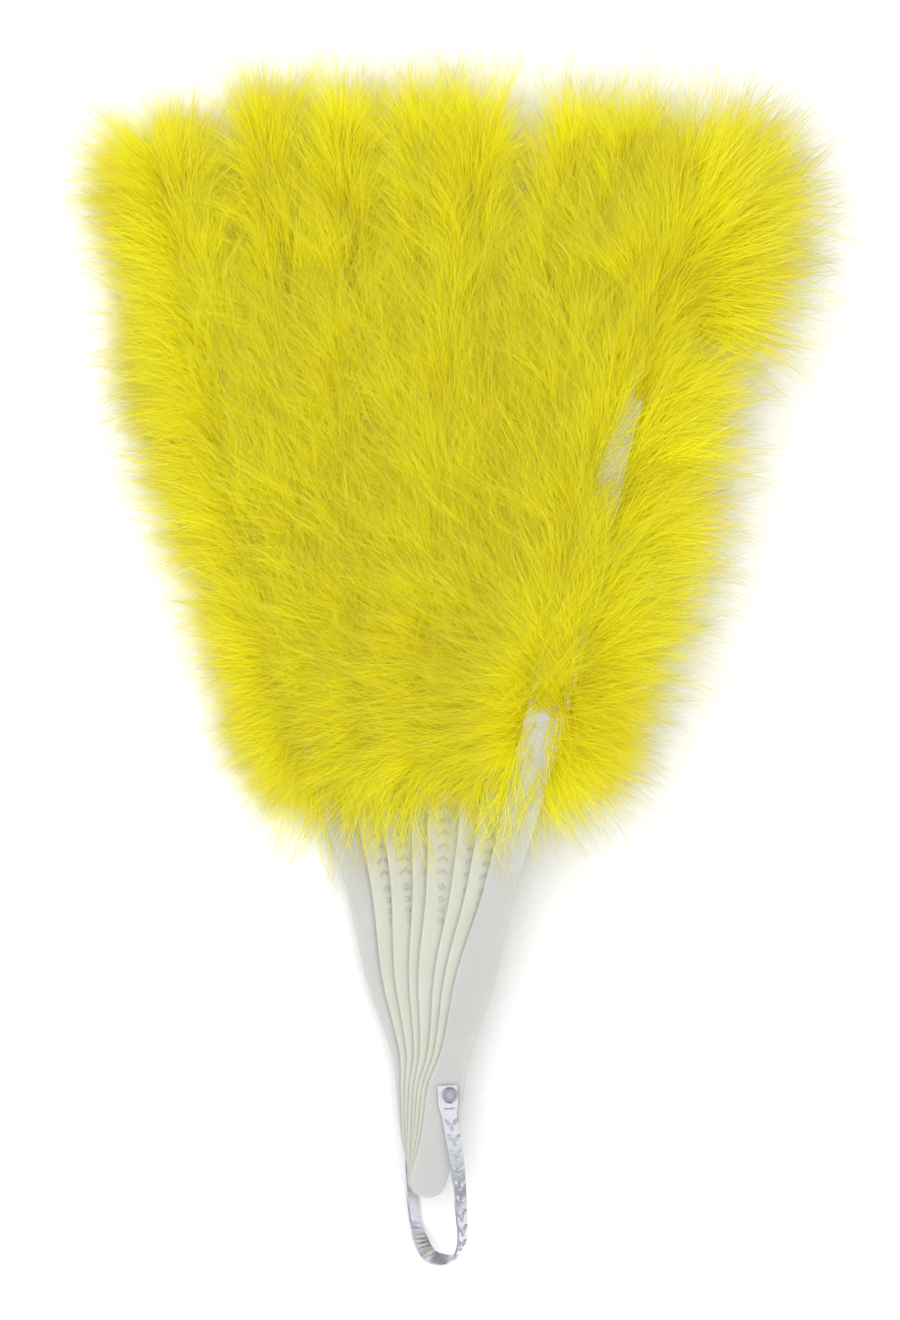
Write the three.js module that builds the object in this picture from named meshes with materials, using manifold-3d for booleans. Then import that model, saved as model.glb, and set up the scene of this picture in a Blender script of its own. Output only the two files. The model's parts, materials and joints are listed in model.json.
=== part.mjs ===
// Feather hand fan: eight plastic staves on a leaning rivet, three plumes glued along the back of
// each stave, and a hanging loop of metal strip on the two ends of the rivet.
// Millimetres, +Z up. The fan lies on its back: +Y runs from the rivet to the plume tips.
import * as THREE from 'three';
import { mergeVertices } from 'three/addons/utils/BufferGeometryUtils.js';
import Module from 'manifold-3d';

const wasm = await Module();
wasm.setup();

// Clearance between pieces that touch in the real object
const GAP = 0.3;

// Staves: lean of each at rest in degrees to the right, from the rear guard to the front guard
const REST_LEANS = [-15, -9.3, -5, 0, 2.7, 8.4, 11.5, 15];
const STAVE_TAIL = 27.5;
const STAVE_HEAD = 203;
const STAVE_THICK = 1.3;
const STAVE_BEVEL = 0.35;

// Half widths of a stave and where along it, from the rivet, they are reached
const TAIL_HALF = 4.8;
const EYE_END_HALF = 5;
const WAIST_HALF = 3.8;
const WAIST_AT = 11;
const GRIP_HALF = 5.2;
const GRIP_AT = 32;
const NECK_HALF = 4.1;
const NECK_AT = 55;
const BLADE_HALF = 5.6;
const BLADE_AT = 98;
const TIP_HALF = 3.2;
// Least distance of a row of points from the rounded ends
const ROW_GAP = 2;

// Below the rivet the tails are pressed together: how far the two guards' tails give to the right, and where
const REAR_TAIL_BEND = -2.6;
const FRONT_TAIL_BEND = 1.8;
const BEND_FROM = 5;
const BEND_TO = -15;

// The rivet leans over: the sideways step from one stave to the next on it
const PIVOT_STEP = 1.05;
const PIN_RADIUS = 0.7;
const RIVET_HEAD_RADIUS = 2.1;
const RIVET_HEAD_HEIGHT = 1.2;
const RIVET_SIDES = 20;
const CAP_SOCKET = 0.45;

// Hanging loop
const STRIP_THICK = 0.6;
const STRIP_HALF = 2;
const EYE_HALF = 2.6;
const LOOP_DROP = 44.5;
const LOOP_BULGE = 3.1;
const LOOP_SWING = 4;
const LOOP_SWING_MOST = 8;
const LOOP_FULL_FRONT = 0.95;
const LOOP_FULL_REAR = 0.84;
const LOOP_ROLL = 20;
const LOOP_TWIST = 35;

// Plumes: bed between the staves, where each of the three begins, and how far they reach
const PLUME_BED = 0.9;
const SPLAY_FROM = 8;
const SPLAY_TO = 80;
const LOWER_FROM = 72;
const TIP_LAP = 13;
const TIP_BEYOND = 59;
const HEM_REACH = 22;
const SIDE_REACH = 27;
const FRONT_EXTRA = 9;
const FRONT_EXTRA_TIP = 12;
const LEAST_BARB = 2;
const TUFT = 0.11;
const HEM_SLANT = 0.15;
const BARB_SLANT = 0.7;
const TIP_NOTCH = 7;
const NOTCH_WAVE = 5;
const CHANNEL_WALL = 0.25;
const FRONT_DOME = 13;
const DROOP_WIDTH = 9;
const DROOP_TOP = 9;
const DROOP_THICK = 2;

// Lengths along a stave over which the plumes widen from the hem, grow to the front tip, and rise
const HEM_GROWTH = 30;
const LOBE_GROWTH = 40;
const DOME_GROWTH = 35;

// Across a plume, from its edge inwards: shares of its reach, and of its rise
const BARB_PROFILE = [[1, 0.25], [0.78, 0.75], [0.45, 1]];
const WALL_RISE = 0.35;
// Shares of the layer that a plume's thin edge lies between, and by which it narrows and sinks at its tip
const EDGE_LOW = 0.25;
const EDGE_HIGH = 0.6;
const TIP_NARROWING = 0.35;
const DOME_SINKING = 0.6;

// Sizes that follow
const DEG = Math.PI / 180;
const LAST = REST_LEANS.length - 1;
const PIVOT_PITCH = STAVE_THICK + GAP;
const PLUME_PITCH = STAVE_THICK + PLUME_BED + 2 * GAP;
const LEAN = Math.atan2(PIVOT_STEP, PIVOT_PITCH);
const STACK_HALF = (LAST * PIVOT_PITCH + STAVE_THICK) / 2;
const PIN_HOLE = PIN_RADIUS / Math.cos(LEAN) + (STAVE_THICK / 2) * Math.tan(LEAN) + GAP;
const EYE_CORNER = Math.hypot(EYE_HALF, EYE_HALF);
const EYE_TILT = 2 * Math.asin(Math.sin((LOOP_SWING_MOST * DEG) / 2) * Math.sin(LEAN));
const EYE_LOW = STACK_HALF + GAP + EYE_CORNER * Math.sin(EYE_TILT);
const EYE_MID = (EYE_LOW + STRIP_THICK / 2) / Math.cos(LEAN);
const HEAD_LOW = EYE_LOW + STRIP_THICK + GAP + RIVET_HEAD_RADIUS * Math.sin(EYE_TILT);
const PIN_END = HEAD_LOW / Math.cos(LEAN);
const LOOP_BOW = EYE_MID + LOOP_BULGE;
const PIN_DROP = HEAD_LOW + RIVET_HEAD_HEIGHT;
const SWING_DROP = LOOP_DROP * Math.sin(LOOP_SWING * DEG);
const LOOP_SINK = (LOOP_BOW + STRIP_THICK) * Math.cos(LEAN) + (STRIP_HALF + SWING_DROP) * Math.sin(LEAN);
const MIDDLE_HEIGHT = Math.max(PIN_DROP, LOOP_SINK) + GAP;
const REAR_HEIGHT = MIDDLE_HEIGHT - STACK_HALF;
const TIP_FROM = STAVE_HEAD - TIP_LAP;
const TIP_REACH = STAVE_HEAD + TIP_BEYOND;
const TIP_TAPER = TIP_REACH * 0.09;
const MIDDLE_FROM = LOWER_FROM + (TIP_FROM - LOWER_FROM) * 0.475;
const DROOP_FROM = TIP_REACH + PIVOT_STEP * LAST * 0.5;
const DROOP_FLOOR = DROOP_FROM + DROOP_WIDTH * 0.4;
const DROOP_TO = DROOP_FROM + DROOP_WIDTH;

function smooth(t) {
  const c = Math.min(Math.max(t, 0), 1);
  return c * c * (3 - 2 * c);
}

function mix(a, b, t) {
  return a + (b - a) * t;
}

// Geometry from points and triangles, with faces that have no area left out
function geometryOf(points, faces) {
  const geometry = new THREE.BufferGeometry();
  geometry.setAttribute('position', new THREE.Float32BufferAttribute(points, 3));
  geometry.setIndex(faces);
  geometry.computeVertexNormals();
  return geometry;
}

// A closed body lofted through rows, each with a top edge and a bottom edge from left to right
function slab(rows) {
  const count = rows[0].top.length;
  const points = [];
  const faces = [];
  for (const row of rows) {
    for (const p of [...row.top, ...row.bottom]) {
      points.push(p.x, p.y, p.z);
    }
  }
  const top = (i, j) => i * 2 * count + j;
  const under = (i, j) => top(i, j) + count;
  const quad = (a, b, c, d) => faces.push(a, b, c, a, c, d);
  const end = rows.length - 1;
  const edge = count - 1;
  for (let i = 0; i < end; i++) {
    for (let j = 0; j < edge; j++) {
      quad(top(i, j), top(i, j + 1), top(i + 1, j + 1), top(i + 1, j));
      quad(under(i, j), under(i + 1, j), under(i + 1, j + 1), under(i, j + 1));
    }
    quad(under(i, 0), top(i, 0), top(i + 1, 0), under(i + 1, 0));
    quad(under(i, edge), under(i + 1, edge), top(i + 1, edge), top(i, edge));
  }
  for (let j = 0; j < edge; j++) {
    quad(under(0, j), under(0, j + 1), top(0, j + 1), top(0, j));
    quad(under(end, j), top(end, j), top(end, j + 1), under(end, j + 1));
  }
  return geometryOf(points, faces);
}

function solid(geometry) {
  const bare = geometry.clone();
  bare.deleteAttribute('normal');
  bare.deleteAttribute('uv');
  const merged = mergeVertices(bare, 1e-4);
  const source = merged.index.array;
  const triVerts = [];
  for (let i = 0; i < source.length; i += 3) {
    const [a, b, c] = [source[i], source[i + 1], source[i + 2]];
    if (a !== b && b !== c && c !== a) {
      triVerts.push(a, b, c);
    }
  }
  return new wasm.Manifold(new wasm.Mesh({
    numProp: 3,
    vertProperties: new Float32Array(merged.attributes.position.array),
    triVerts: new Uint32Array(triVerts),
  }));
}

function fromSolid(body) {
  const mesh = body.getMesh();
  return geometryOf(Array.from(mesh.vertProperties), Array.from(mesh.triVerts));
}

function cut(geometry, tool) {
  return fromSolid(solid(geometry).subtract(solid(tool)));
}

function addMesh(group, name, geometry, color, roughness, metalness = 0) {
  const material = new THREE.MeshStandardMaterial({ color, roughness, metalness });
  material.name = `${name}_material`;
  const mesh = new THREE.Mesh(geometry, material);
  mesh.name = name;
  group.add(mesh);
  return mesh;
}

// A turned piece about Z, from points of radius and height that begin and end on the axis
function turned(profile) {
  const geometry = new THREE.LatheGeometry(profile.map(([r, z]) => new THREE.Vector2(r, z)), RIVET_SIDES);
  geometry.rotateX(Math.PI / 2);
  return fromSolid(solid(geometry));
}

// Height of the staves: they lie close at the rivet and stand apart where the plumes are
function staveBottom(k, r) {
  const spread = smooth((r - SPLAY_FROM) / (SPLAY_TO - SPLAY_FROM));
  return REAR_HEIGHT + k * mix(PIVOT_PITCH, PLUME_PITCH, spread);
}

// Half width of a stave along its length, with both ends rounded
const WIDTHS = [
  [-STAVE_TAIL, TAIL_HALF],
  [-STAVE_TAIL * 0.5, TAIL_HALF],
  [0, EYE_END_HALF],
  [WAIST_AT, WAIST_HALF],
  [GRIP_AT, GRIP_HALF],
  [NECK_AT, NECK_HALF],
  [BLADE_AT, BLADE_HALF],
  [STAVE_HEAD, TIP_HALF],
];

function staveHalf(s) {
  let i = 0;
  while (i < WIDTHS.length - 2 && s > WIDTHS[i + 1][0]) {
    i++;
  }
  const [s0, w0] = WIDTHS[i];
  const [s1, w1] = WIDTHS[i + 1];
  return mix(w0, w1, smooth((s - s0) / (s1 - s0)));
}

// Sideways give of a stave's tail
function tailBend(k, s) {
  return mix(REAR_TAIL_BEND, FRONT_TAIL_BEND, k / LAST) * smooth((BEND_FROM - s) / (BEND_FROM - BEND_TO));
}

function stave(k) {
  const stations = [];
  const round = [0.02, 0.12, 0.3, 0.55, 0.8, 1];
  for (const t of round) {
    stations.push([-STAVE_TAIL + t * TAIL_HALF, Math.sqrt(1 - (1 - t) * (1 - t))]);
  }
  const from = -STAVE_TAIL + TAIL_HALF;
  const to = STAVE_HEAD - TIP_HALF;
  for (let i = 0; i < WIDTHS.length - 1; i++) {
    for (const t of [0.25, 0.5, 0.75, 1]) {
      const s = mix(WIDTHS[i][0], WIDTHS[i + 1][0], t);
      if (s > from + ROW_GAP && s < to - ROW_GAP) {
        stations.push([s, 1]);
      }
    }
  }
  for (const t of [...round].reverse()) {
    stations.push([STAVE_HEAD - t * TIP_HALF, Math.sqrt(1 - (1 - t) * (1 - t))]);
  }
  const rows = stations.map(([s, scale]) => {
    const half = staveHalf(s) * scale;
    const face = Math.max(half - STAVE_BEVEL, half * 0.5);
    const z = staveBottom(k, Math.max(s, 0));
    const bend = tailBend(k, s);
    const at = (x, up) => new THREE.Vector3(x + bend, s, z + up);
    const shoulder = STAVE_THICK - STAVE_BEVEL;
    return {
      top: [at(-half, shoulder), at(-face, STAVE_THICK), at(face, STAVE_THICK), at(half, shoulder)],
      bottom: [at(-half, 0), at(-face, 0), at(face, 0), at(half, 0)],
    };
  });
  const bore = new THREE.CylinderGeometry(PIN_HOLE, PIN_HOLE, 10 * STAVE_THICK, RIVET_SIDES);
  bore.rotateX(Math.PI / 2);
  bore.translate(0, 0, staveBottom(k, 0) + STAVE_THICK / 2);
  return cut(slab(rows), bore);
}

// The layer that belongs to the plumes of one stave, from the stave below it to its own front face
function layer(k, r) {
  const low = k === 0 ? 0 : staveBottom(k - 1, r) + STAVE_THICK + GAP;
  return [low, staveBottom(k, r) + STAVE_THICK];
}

// How far the plumes reach to each side of their stave at a place along it
function reach(k, s, side) {
  const grown = mix(HEM_REACH, SIDE_REACH, smooth((s - LOWER_FROM) / HEM_GROWTH));
  const lobe = mix(FRONT_EXTRA, FRONT_EXTRA_TIP, smooth((s - TIP_FROM) / LOBE_GROWTH));
  const extra = k === LAST && side > 0 ? lobe : 0;
  return (grown + extra) * (1 - TIP_NARROWING * smooth((s - TIP_REACH + TIP_TAPER) / TIP_TAPER));
}

// Rise of the front guard's plumes beside their stave
function dome(k, s) {
  if (k !== LAST) {
    return 0;
  }
  const rise = smooth((s - LOWER_FROM) / DOME_GROWTH);
  return FRONT_DOME * rise * (1 - DOME_SINKING * smooth((s - STAVE_HEAD) / TIP_BEYOND));
}

// One row across a plume. The row runs straight behind the stave and is swept up or down beside it
function plumeRow(k, s, sweep, index, channel, fall = 0) {
  const inner = staveHalf(Math.min(s, STAVE_HEAD)) + GAP;
  const outer = inner + CHANNEL_WALL;
  const tuft = 1 + TUFT * (index % 2 ? 1 : -1);
  const widths = [-1, 1].map((side) => reach(k, s, side) * tuft);
  const columns = [];
  for (const [share, lift] of BARB_PROFILE) {
    columns.push([-Math.max(widths[0] * share, outer + LEAST_BARB * share), lift, share === 1]);
  }
  columns.push([-outer, WALL_RISE, false], [-inner, 0, false], [inner, 0, false], [outer, WALL_RISE, false]);
  for (const [share, lift] of [...BARB_PROFILE].reverse()) {
    columns.push([Math.max(widths[1] * share, outer + LEAST_BARB * share), lift, share === 1]);
  }
  const top = [];
  const bottom = [];
  for (const [u, lift, isEdge] of columns) {
    const y = sweep(Math.abs(u) - outer, u);
    const [low, high] = layer(k, Math.hypot(u, y));
    const inChannel = channel && Math.abs(u) <= inner;
    const bed = staveBottom(k, Math.hypot(u, y)) - GAP;
    let up = inChannel ? bed : high + lift * dome(k, s);
    let down = isEdge && k > 0 ? mix(low, high, EDGE_LOW) : low;
    if (isEdge) {
      up = mix(low, up, EDGE_HIGH);
    }
    if (fall > 0) {
      const share = Math.abs(u) / Math.max(...widths);
      down = share < 0.5 ? 0 : low * (share - 0.5);
      up = Math.max(mix(up, DROOP_TOP, fall), down + DROOP_THICK);
    }
    top.push(new THREE.Vector3(u, y, up));
    bottom.push(new THREE.Vector3(u, y, down));
  }
  return { top, bottom };
}

function sweepOf(s, slant) {
  return (beside) => s + slant * Math.max(beside, 0);
}

// Sweep of the tip plume: it begins like the plume below and ends on an arc about the rivet
function sweepOfTip(s, radius) {
  const t = (s - TIP_FROM) / (radius - TIP_FROM);
  return (beside, u) => {
    const barb = TIP_FROM + BARB_SLANT * Math.max(beside, 0);
    const notch = Math.abs(u) > 2 * TIP_HALF ? TIP_NOTCH * Math.abs(Math.sin(u / NOTCH_WAVE)) : 0;
    const arc = Math.sqrt(radius * radius - u * u) - (radius > TIP_REACH ? 0 : notch);
    return mix(barb, arc, t);
  };
}

function lowerPlume(k) {
  const rows = [];
  const steps = 7;
  for (let i = 0; i <= steps; i++) {
    const s = mix(LOWER_FROM, MIDDLE_FROM - GAP, i / steps);
    const slant = mix(HEM_SLANT, BARB_SLANT, smooth(i / steps));
    rows.push(plumeRow(k, s, sweepOf(s, slant), i, true));
  }
  return slab(rows);
}

function middlePlume(k) {
  const rows = [];
  const steps = 7;
  for (let i = 0; i <= steps; i++) {
    const s = mix(MIDDLE_FROM + GAP, TIP_FROM - GAP, i / steps);
    rows.push(plumeRow(k, s, sweepOf(s, BARB_SLANT), i, true));
  }
  return slab(rows);
}

function tipPlume(k) {
  const rows = [];
  const headRoom = STAVE_HEAD + GAP;
  const beyond = 5;
  const add = (s, channel) => rows.push(plumeRow(k, s, sweepOfTip(s, TIP_REACH), rows.length, channel));
  add(TIP_FROM + GAP, true);
  add(mix(TIP_FROM, headRoom, 0.5), true);
  add(headRoom, true);
  const evened = rows.length % 2;
  rows.push(plumeRow(k, headRoom + CHANNEL_WALL, sweepOfTip(headRoom + CHANNEL_WALL, TIP_REACH), evened - 1, false));
  for (let i = 1; i <= beyond; i++) {
    add(mix(headRoom + CHANNEL_WALL, TIP_REACH, i / beyond), false);
  }
  if (k === LAST) {
    for (const [radius, fall] of [[DROOP_FROM, 0], [DROOP_FLOOR, 0.5], [DROOP_TO, 1]]) {
      const arc = (beside, u) => Math.sqrt(radius * radius - u * u);
      rows.push(plumeRow(k, radius, arc, 0, false, fall));
    }
  }
  return slab(rows);
}

// Rivet, drawn with its pin upright and the middle of the stack at zero. Its two heads lie flat on the staves
function pinOf(radius, from, to) {
  return turned([[0, from], [radius, from], [radius, to], [0, to]]);
}

function flatOn(profile, place) {
  return turned(profile).rotateY(-LEAN).translate(0, 0, place);
}

function rivetPost() {
  const r = RIVET_HEAD_RADIUS;
  const h = RIVET_HEAD_HEIGHT;
  const head = flatOn([[0, 0], [r, 0], [r, h * 0.35], [r * 0.8, h * 0.75], [r * 0.45, h], [0, h]], PIN_END);
  const post = pinOf(PIN_RADIUS, -(PIN_END + CAP_SOCKET - GAP), PIN_END + h * 0.5);
  return fromSolid(solid(post).add(solid(head)));
}

function rivetCap() {
  const r = RIVET_HEAD_RADIUS;
  const h = RIVET_HEAD_HEIGHT;
  const cap = flatOn([[0, -h], [r * 0.7, -h], [r, -h * 0.6], [r, 0], [0, 0]], -PIN_END);
  return cut(cap, pinOf(PIN_RADIUS + GAP, -PIN_END - CAP_SOCKET, 0));
}

// Strip bent to a U. The two squared ends lie flat on the guards, and the legs and the bend are twisted
function hangingLoop() {
  const leg = (full) => [
    [EYE_MID, EYE_HALF],
    [EYE_MID, 0],
    [EYE_MID, -EYE_HALF * 1.6],
    [mix(EYE_MID, LOOP_BOW, 0.7), -LOOP_DROP * 0.35],
    [LOOP_BOW, -LOOP_DROP * 0.66],
    [LOOP_BOW * full, -LOOP_DROP * 0.87],
    [LOOP_BOW * full * 0.55, -LOOP_DROP * 0.98],
  ];
  const rear = leg(LOOP_FULL_REAR).reverse().map(([d, y]) => [-d, y]);
  const path = [...leg(LOOP_FULL_FRONT), [0, -LOOP_DROP], ...rear];
  const curve = new THREE.CatmullRomCurve3(path.map(([d, y]) => new THREE.Vector3(0, y, d)), false, 'centripetal');
  const steps = 84;
  const rows = [];
  for (let i = 0; i <= steps; i++) {
    const t = i / steps;
    const p = curve.getPointAt(t);
    const along = curve.getTangentAt(t);
    const down = smooth(-p.y / LOOP_DROP / 0.85);
    const low = smooth((-p.y / LOOP_DROP - 0.75) / 0.25);
    const roll = mix(LEAN, -LOOP_ROLL * DEG, down) * (1 - low) * Math.sign(p.z);
    const across = new THREE.Vector3(-1, 0, 0).applyAxisAngle(along, roll - LOOP_TWIST * DEG * low);
    const out = new THREE.Vector3().crossVectors(across, along);
    const half = mix(EYE_HALF, STRIP_HALF, smooth((-p.y - EYE_HALF) / EYE_HALF));
    const at = (x, z) => p.clone().addScaledVector(across, x).addScaledVector(out, z);
    const skin = STRIP_THICK / 2;
    rows.push({ top: [at(-half, skin), at(half, skin)], bottom: [at(-half, -skin), at(half, -skin)] });
  }
  const bore = new THREE.CylinderGeometry(PIN_RADIUS + GAP, PIN_RADIUS + GAP, 4 * PIN_END, RIVET_SIDES);
  bore.rotateX(Math.PI / 2);
  return cut(slab(rows), bore);
}

const fan = new THREE.Group();
fan.name = 'feather_fan';

REST_LEANS.forEach((lean, k) => {
  let name = `inner_stick_${k}`;
  if (k === 0) {
    name = 'rear_guard';
  }
  if (k === LAST) {
    name = 'front_guard';
  }
  const arm = new THREE.Group();
  arm.name = `${name}_arm`;
  arm.position.x = PIVOT_STEP * (k - LAST / 2);
  arm.rotation.z = -lean * DEG;
  const isGuard = k === 0 || k === LAST;
  addMesh(arm, name, stave(k), isGuard ? 0xdde0df : 0xd9dbcc, 0.35);
  addMesh(arm, `${name}_lower_plume`, lowerPlume(k), 0xd2c42a, 0.95);
  addMesh(arm, `${name}_middle_plume`, middlePlume(k), 0xdacd2c, 0.95);
  addMesh(arm, `${name}_tip_plume`, tipPlume(k), 0xe0d650, 0.95);
  fan.add(arm);
});

const pin = new THREE.Group();
pin.name = 'pin_axis';
pin.position.z = MIDDLE_HEIGHT;
pin.rotation.y = LEAN;
addMesh(pin, 'rivet_post', rivetPost(), 0xc9ccd4, 0.3, 0.9);
addMesh(pin, 'rivet_cap', rivetCap(), 0xc9ccd4, 0.3, 0.9);
const swing = new THREE.Group();
swing.name = 'loop_swing';
swing.rotation.z = LOOP_SWING * DEG;
addMesh(swing, 'hanging_loop', hangingLoop(), 0xc4c7d0, 0.28, 0.9);
pin.add(swing);
fan.add(pin);

// The origin lies on the table under the middle of the fan's outline
fan.updateMatrixWorld(true);
const box = new THREE.Box3().setFromObject(fan, true);
const middle = box.getCenter(new THREE.Vector3());
fan.position.set(-middle.x, -middle.y, -box.min.z);
fan.updateMatrixWorld(true);

export default fan;
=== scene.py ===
import json
import math
import random

import bpy
from mathutils import Matrix, Vector
from mathutils.bvhtree import BVHTree

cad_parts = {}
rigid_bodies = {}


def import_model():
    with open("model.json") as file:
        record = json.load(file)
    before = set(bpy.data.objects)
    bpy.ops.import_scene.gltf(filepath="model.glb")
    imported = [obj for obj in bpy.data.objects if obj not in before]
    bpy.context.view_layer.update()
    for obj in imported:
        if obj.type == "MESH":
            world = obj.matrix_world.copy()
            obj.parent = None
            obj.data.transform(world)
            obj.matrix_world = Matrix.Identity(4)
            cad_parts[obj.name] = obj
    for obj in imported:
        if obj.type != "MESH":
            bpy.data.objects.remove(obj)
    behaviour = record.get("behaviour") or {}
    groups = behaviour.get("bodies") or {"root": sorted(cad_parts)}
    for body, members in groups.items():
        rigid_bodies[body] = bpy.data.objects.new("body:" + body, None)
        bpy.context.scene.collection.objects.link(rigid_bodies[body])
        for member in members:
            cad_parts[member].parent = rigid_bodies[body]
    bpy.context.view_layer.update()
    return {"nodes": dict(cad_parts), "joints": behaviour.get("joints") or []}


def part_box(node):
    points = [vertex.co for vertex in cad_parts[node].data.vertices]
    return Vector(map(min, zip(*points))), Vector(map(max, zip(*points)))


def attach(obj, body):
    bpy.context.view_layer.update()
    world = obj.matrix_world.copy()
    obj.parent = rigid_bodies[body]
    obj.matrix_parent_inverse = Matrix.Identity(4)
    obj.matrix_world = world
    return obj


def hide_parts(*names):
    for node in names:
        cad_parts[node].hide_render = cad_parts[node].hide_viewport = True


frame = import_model()
NODES = frame["nodes"]
JOINTS = {joint["name"]: joint for joint in frame["joints"]}
MM = 0.001

# Staves from the back of the fan to its front, and the stretch at a stave's head that shows where it points
STAVES = ["rear_guard", *(f"inner_stick_{k}" for k in range(1, 7)), "front_guard"]
HEAD_STRETCH = 4 * MM

# Photograph: its frame, its scale, and the pixel of the rivet's middle
FRAME_PX = (900, 1320)
PX_PER_MM = 3.81
RIVET_PX = (430, 1097)
CAMERA_HEIGHT = 1400 * MM
FOCUS_HEIGHT = 26 * MM

# Stage, in metres and watts: a paper sweep, a tent that is grey near the horizon, and a soft lamp overhead
FLOOR_REACH = 3.0
TENT_HORIZON = (0.25, 0.25, 0.26, 1)
TENT_TOP = (1, 1, 1, 1)
TENT_STRENGTH = 1.18
LAMP_SIZE = 2.4
LAMP_POWER = 32
LAMP_PLACE = (-0.1, 0.12, 1.8)

# Down grows in runs of tufts along a quill. A run gives the ends of its quill along the stave, in mm from
# the rivet, the angle of the tufts to the quill at both ends and its scatter, in degrees, and the length of
# a tuft in mm. It may give the number of tufts, their lowest and highest lift in degrees, and how far
# beside the quill they start at its two ends, in mm. On the outer side of a guard tufts lean out further,
# in degrees, and are longer, in shares
PLUMES = {
    "lower": {"quill": (88, 132), "angles": (118, 34), "scatter": 38, "length": 28,
              "rear_outer": 6, "front_outer": 6, "rear_length": 1.0, "front_length": 1.2},
    "middle": {"quill": (120, 194), "angles": (30, 20), "scatter": 32, "length": 35,
               "rear_outer": 26, "front_outer": 26, "rear_length": 1.02, "front_length": 1.18},
    "tip": {"quill": (180, 248), "angles": (32, 18), "scatter": 27, "length": 32, "offsets": (5.5, 0.5),
            "rear_outer": 38, "front_outer": 24, "rear_length": 1.08, "front_length": 1.5},
}
PLUME_LIFT = (-20, 24)
PLUME_OFFSETS = (5.5, 5.5)
TUFTS_PER_PLUME = 1000
TUFTS_PER_GUARD_PLUME = 1750
# The guards' hems sit higher, and the tips on the left reach further than the front guard's
GUARD_HEM = 5
FRONT_TIP_ROOT = 213
TIP_SHIFTS = (7, 9, 6, 4, 3, 4, 4, -3)
# Tufts that leave the edges of a stave inwards and lie across its face
CROSSING = {"quill": (94, 206), "tufts": 320, "angles": (-24, -16), "scatter": 18, "length": 30,
            "lift": (4, 22)}
FRONT_CROSSING = {"quill": (102, 150), "tufts": 240, "angles": (-32, -22), "scatter": 20, "length": 30,
                  "lift": (4, 22)}
# Wisps that hang below the hem
WISPS = {"quill": (84, 96), "tufts": 30, "angles": (168, 150), "scatter": 26, "length": 36, "lift": (0, 14)}
FRONT_WISPS = {"quill": (84, 114), "tufts": 80, "angles": (168, 150), "scatter": 30, "length": 28,
               "lift": (0, 14)}
# Tufts that close the parting above the head of a guard
CROWN = {"quill": (188, 236), "tufts": 320, "angles": (16, 8), "scatter": 24, "length": 28, "lift": (2, 22),
         "offsets": (4, 0.5)}
REAR_CROWN = {**CROWN, "quill": (192, 252), "lift": (-8, 14)}
# Tufts that hang from the front guard's tip to the table
HANGING = {"quill": (220, 246), "tufts": 420, "angles": (54, 24), "scatter": 40, "length": 38,
           "lift": (-76, -36), "offsets": (5.5, 0.5)}
# Plume quills lie behind the front face of their stave, and other tufts start just under that face
QUILL_DEPTH = 2.4 * MM
QUILL_LEAST_HEIGHT = 3.5 * MM
FACE_DEPTH = 0.4 * MM

# A kind of tuft, in shares of its length: how far it leans over, how far its barbs part, and how much of
# that they close again at their ends. Every fourth kind is drawn to a point
TUFT_KINDS = 8
FIRST_TUFT_SEED = 11
TUFT_LEAN = (0.1, 0.32)
TUFT_PARTING = (0.12, 0.3)
TUFT_CLOSING = (0.1, 0.8)
POINTED_EVERY = 4
POINTED_PARTING = 0.09
POINTED_CLOSING = 0.95
# Its barbs: real ones are some hundredths of a millimetre wide, so they are drawn coarser to show
BARBS = 12
BARB_STEPS = 3
BARB_WIDTH = 0.2 * MM
BARB_WIDTH_AT_LENGTH = 32 * MM
BARB_REACH = (0.62, 1.0)
BARB_PARTING = (0.4, 1.3)
PARTING_POWER = 0.8
BARB_WAVE = 0.075
WAVE_ANGLE = 5
BARB_TAPER = 0.75

# How tufts of one run differ, in shares: where they start beside the quill, and how long they grow
ROOT_SHIFT = (0.3, 1.2)
GROWTH = (0.5, 1.1)
# Clumps that sway alike, patches that stay short or grow long, and patches of one tone
CLUMP_SIZE = 13 * MM
CLUMP_DETAIL = 2.5
CLUMP_SWAY = 110
SHORT_PATCH = 6 * MM
SHORT_NOISE = (0.38, 0.6)
SHORT_GROWTH = (0.88, 1.03)
TONE_PATCH = 11 * MM
TONE_SCATTER = 0.28
# Down lies on the table in a thin nap, and eases off below its greatest height
TABLE_NAP = 0.4 * MM
TABLE_NAP_RANGE = 1.6 * MM
TABLE_EASE = 3 * MM
FLUFF_TOP = 47 * MM
TOP_EASE = 8 * MM

# Node types that are used most, and sockets by number where a node's names repeat
MATH = "ShaderNodeMath"
VECTOR_MATH = "ShaderNodeVectorMath"
COMBINE = "ShaderNodeCombineXYZ"
MIX = "ShaderNodeMix"
NOISE = "ShaderNodeTexNoise"
RANDOM = "FunctionNodeRandomValue"
MIX_FACTOR, MIX_A, MIX_B = 0, 2, 3
MIX_COLOUR_A, MIX_COLOUR_B, MIX_COLOUR_OUT = 6, 7, 2
RANDOM_LEAST, RANDOM_MOST, RANDOM_LEAST_INT, RANDOM_MOST_INT, RANDOM_SEED = 2, 3, 4, 5, 8
RANDOM_OUT, RANDOM_INT_OUT = 1, 2


def srgb(code):
    """Linear colour of an sRGB hex code."""
    parts = [int(code[i:i + 2], 16) / 255 for i in (1, 3, 5)]
    return (*(c / 12.92 if c <= 0.04045 else ((c + 0.055) / 1.055) ** 2.4 for c in parts), 1)


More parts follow.
